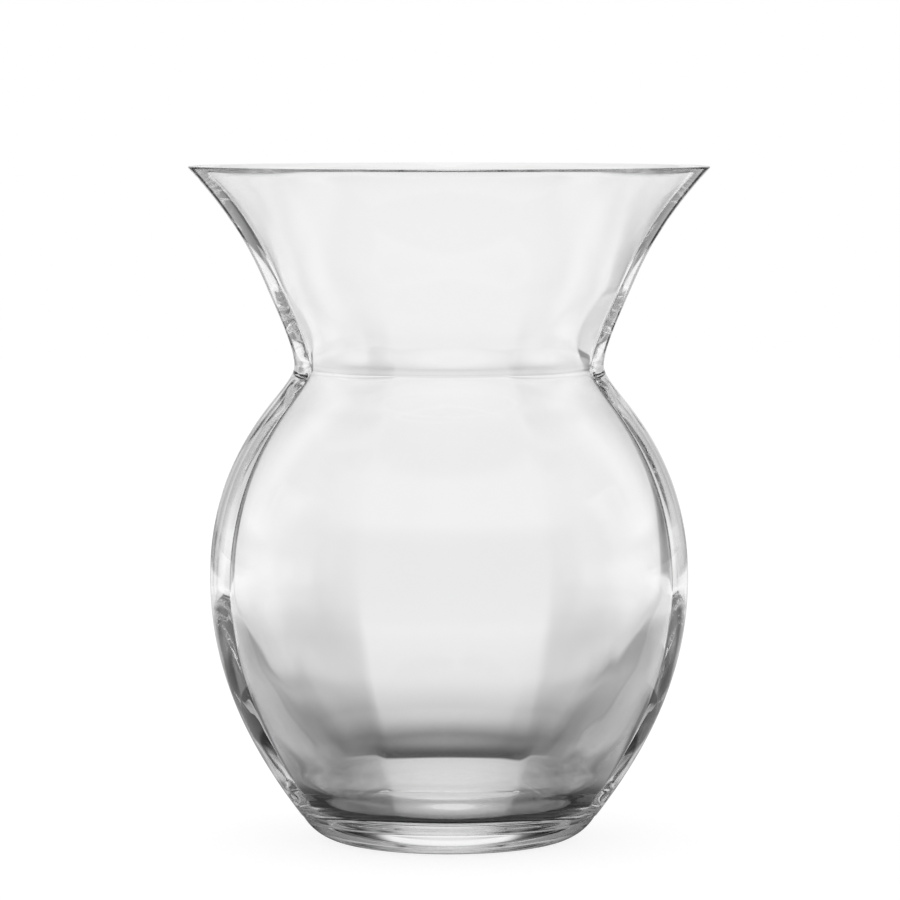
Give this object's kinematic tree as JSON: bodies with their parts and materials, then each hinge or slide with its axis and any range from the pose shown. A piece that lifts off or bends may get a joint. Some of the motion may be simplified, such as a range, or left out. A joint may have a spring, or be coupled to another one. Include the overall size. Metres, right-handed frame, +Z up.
{
  "type": "glass vase",
  "caption": "Clear glass flower vase with a wide flared collar, a pinched neck, a round bulb with soft upright panels inside, and a thick rounded foot.",
  "frame": {"origin": "centre of the resting face under the foot", "axes": "+Z up along the vase's axis to the rim; -Y faces the viewer, with one inside panel nearly square to it; +X to the viewer's right"},
  "size_m": [0.154, 0.154, 0.2],
  "materials": {
    "clear_glass": "fire-polished"
  },
  "bodies": {
    "root": {"foot": "clear_glass", "belly": "clear_glass", "shoulder": "clear_glass", "collar": "clear_glass"}
  },
  "joints": []
}
